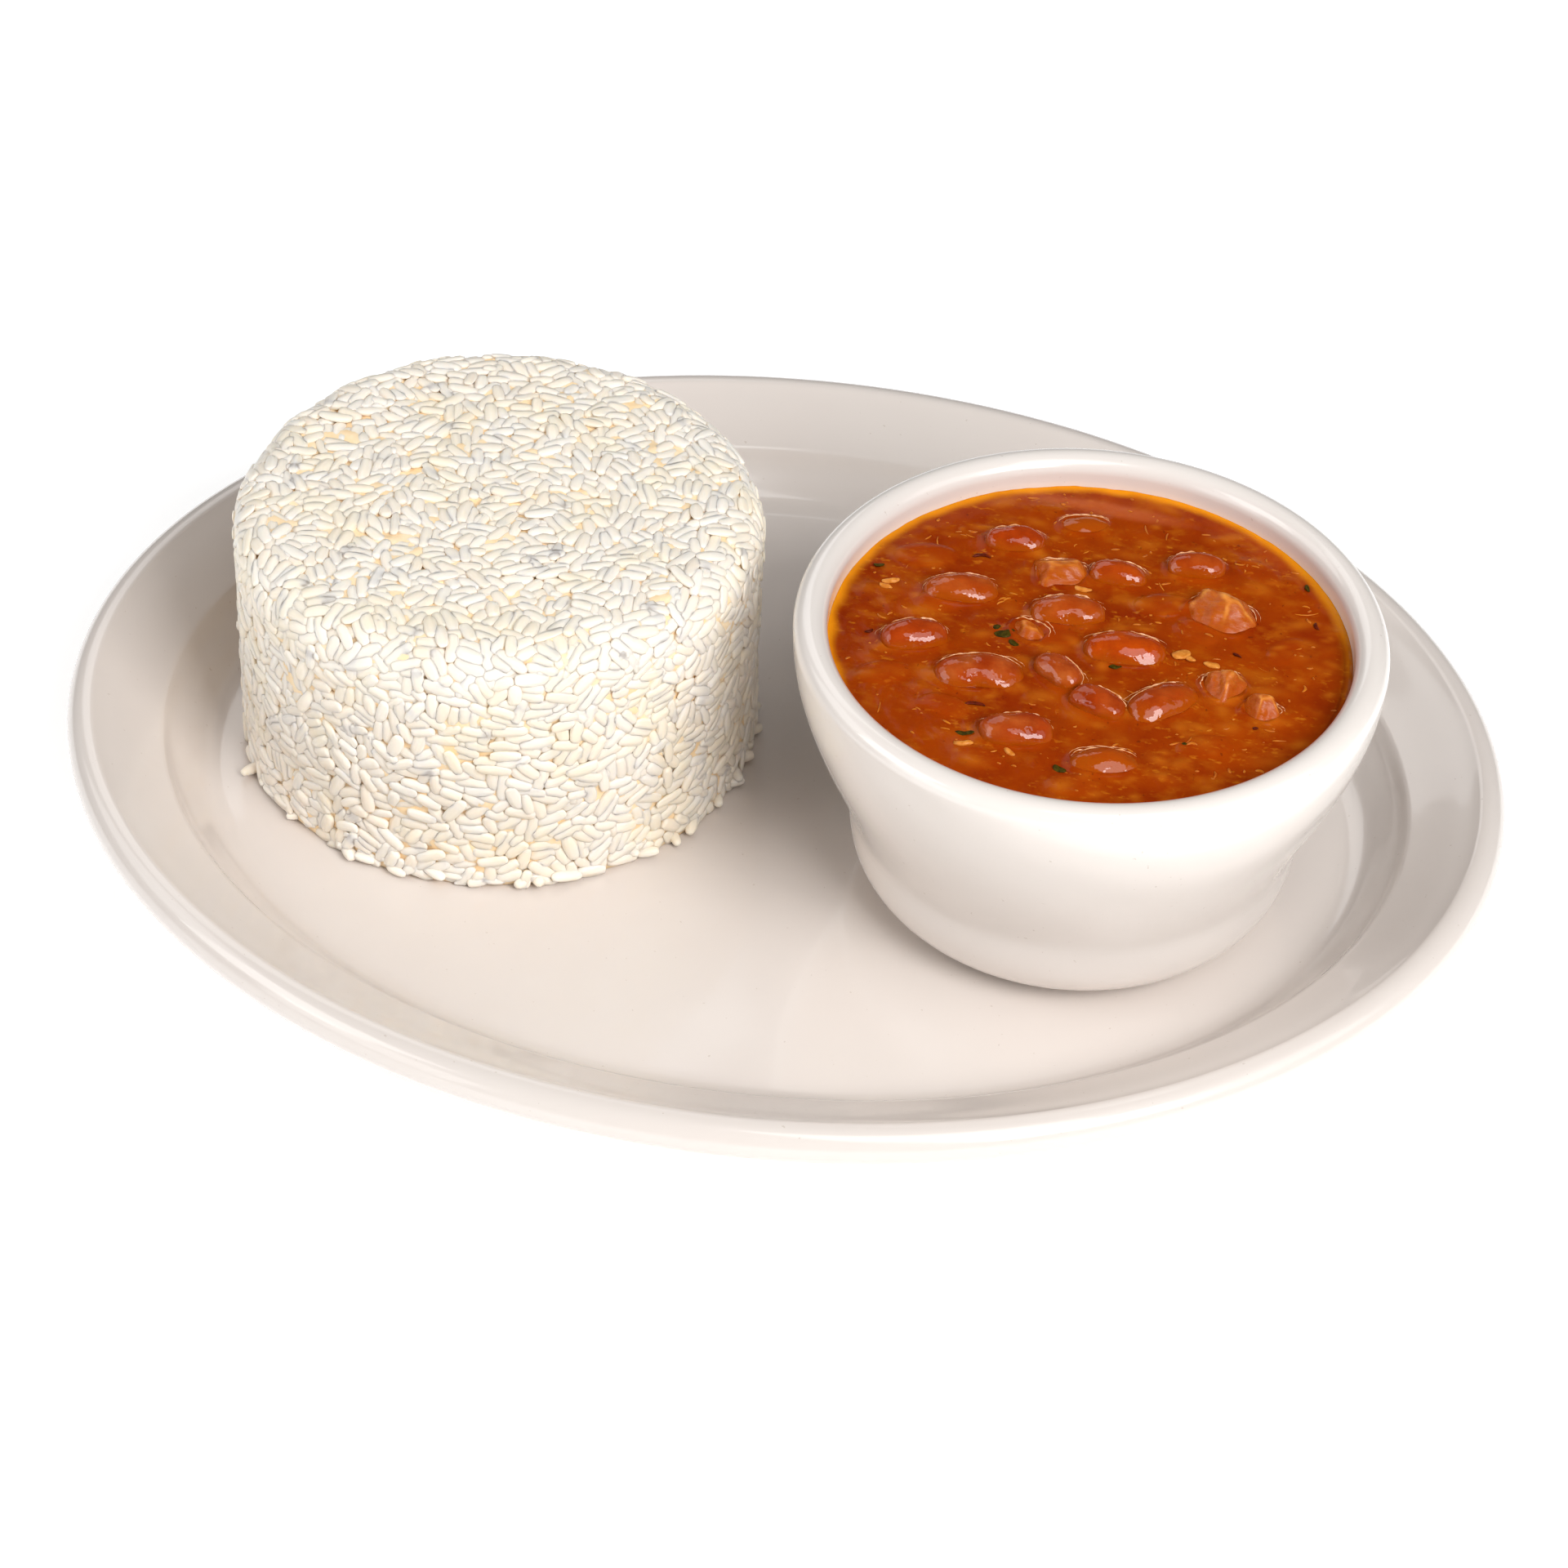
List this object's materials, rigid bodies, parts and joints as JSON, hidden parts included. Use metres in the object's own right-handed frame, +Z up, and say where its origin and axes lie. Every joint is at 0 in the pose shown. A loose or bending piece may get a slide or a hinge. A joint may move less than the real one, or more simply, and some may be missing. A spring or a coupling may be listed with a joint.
{
  "type": "plate of red beans and rice",
  "caption": "Oval white platter that carries a moulded drum of cooked white rice beside a flared bowl of red bean stew with ham pieces and herbs.",
  "frame": {"origin": "middle of the platter on the table, under its foot ring", "axes": "+X along the platter towards the bowl, +Y to the back of the plate, +Z up"},
  "size_m": [0.26, 0.211, 0.0653],
  "materials": {
    "platter_glaze": "glossy warm off-white glaze",
    "bowl_glaze": "glossy white glaze",
    "rice": "moist, faintly translucent cooked white rice",
    "stew": "wet orange-brown bean gravy with flecks",
    "bean": "wet dark red to pinkish-tan bean skin",
    "ham": "wet pinkish-tan cooked ham",
    "herb": "wet dark green cooked herb"
  },
  "bodies": {
    "root": {"platter": "platter_glaze", "bowl": "bowl_glaze", "rice": "rice", "stew": "stew", "bean_01": "bean", "bean_02": "bean", "bean_03": "bean", "bean_04": "bean", "bean_05": "bean", "bean_06": "bean", "bean_07": "bean", "bean_08": "bean", "bean_09": "bean", "bean_10": "bean", "bean_11": "bean", "bean_12": "bean", "bean_13": "bean", "bean_14": "bean", "ham_01": "ham", "ham_02": "ham", "ham_03": "ham", "ham_04": "ham", "ham_05": "ham"}
  },
  "joints": []
}
